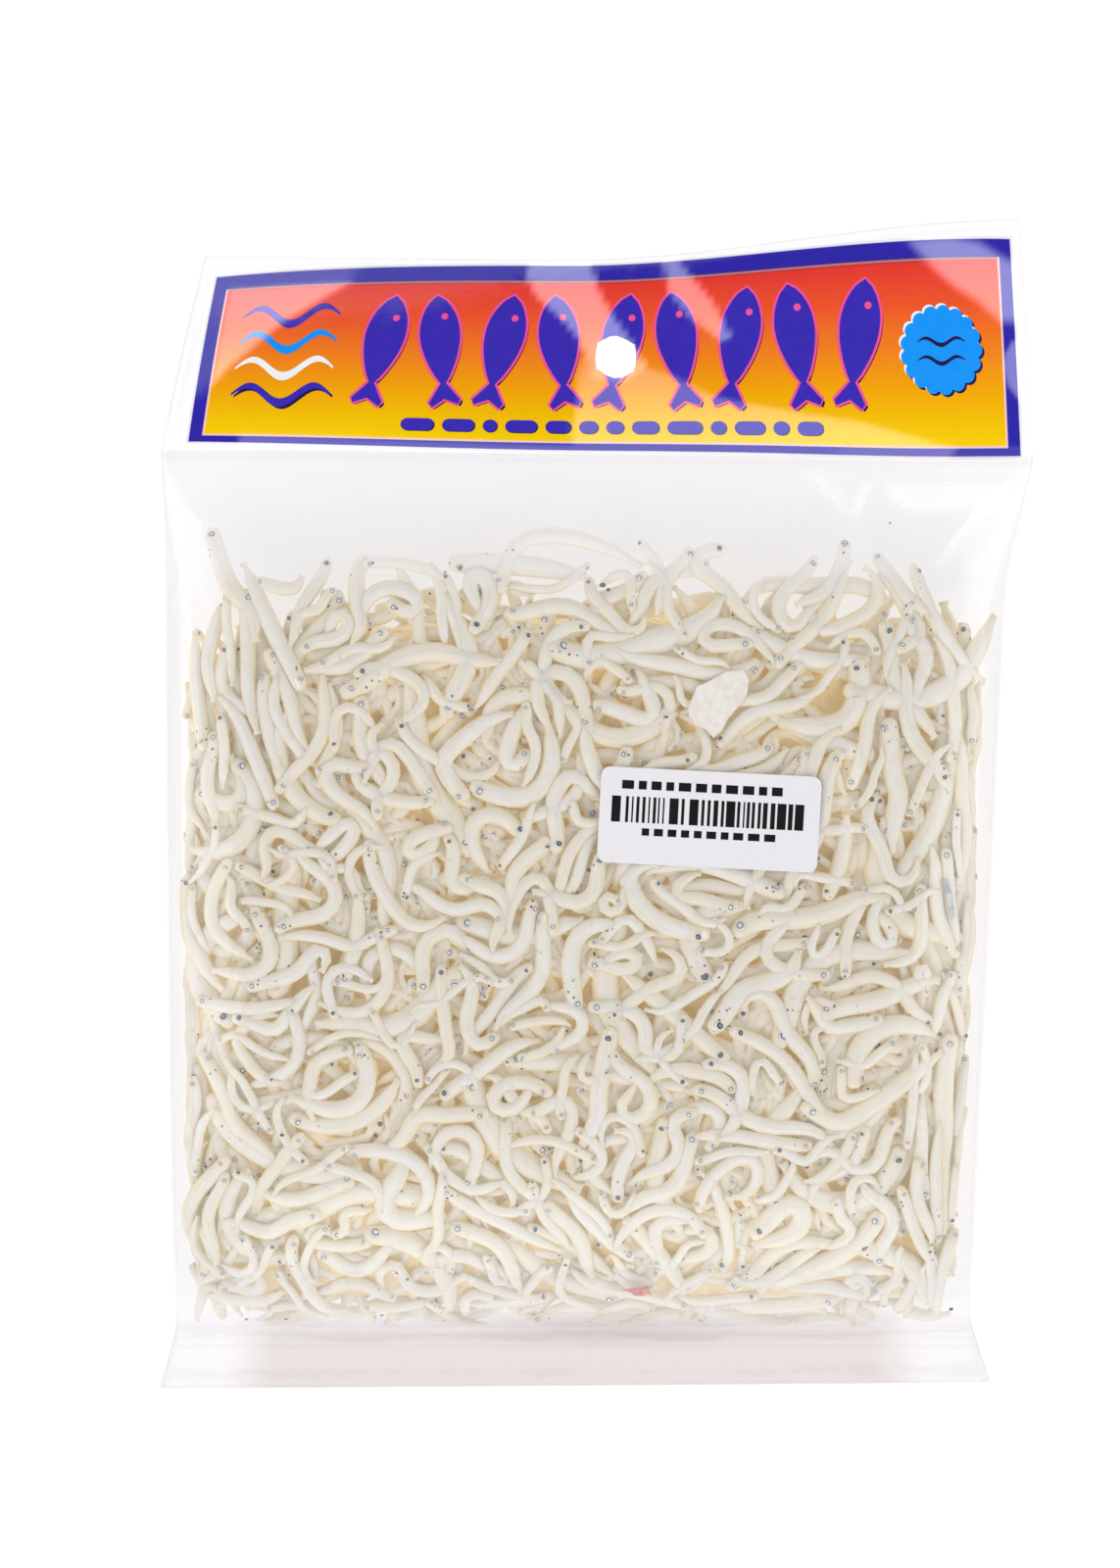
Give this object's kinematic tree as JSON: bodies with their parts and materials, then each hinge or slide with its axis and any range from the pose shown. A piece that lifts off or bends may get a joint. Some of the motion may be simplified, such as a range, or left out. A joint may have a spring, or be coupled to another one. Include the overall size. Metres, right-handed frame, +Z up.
{
  "type": "bag of dried anchovies",
  "caption": "Clear heat-sealed bag of small dried anchovies, lying flat, with a printed header card with a hang hole and a blank price sticker.",
  "frame": {"origin": "middle of the bag's bounding box in plan, on the surface that the bag lies on", "axes": "+X across the bag, +Y from the bottom seal to the header, +Z up, out of the shown side"},
  "size_m": [0.1342, 0.1806, 0.0179],
  "materials": {
    "film_and_fish": "clear glossy film over whitish dried fish",
    "printed_card": "printed card under glossy film",
    "sticker_paper": "coated white label paper"
  },
  "bodies": {
    "root": {"bag": "film_and_fish", "header_card": "printed_card", "price_sticker": "sticker_paper"}
  },
  "joints": []
}
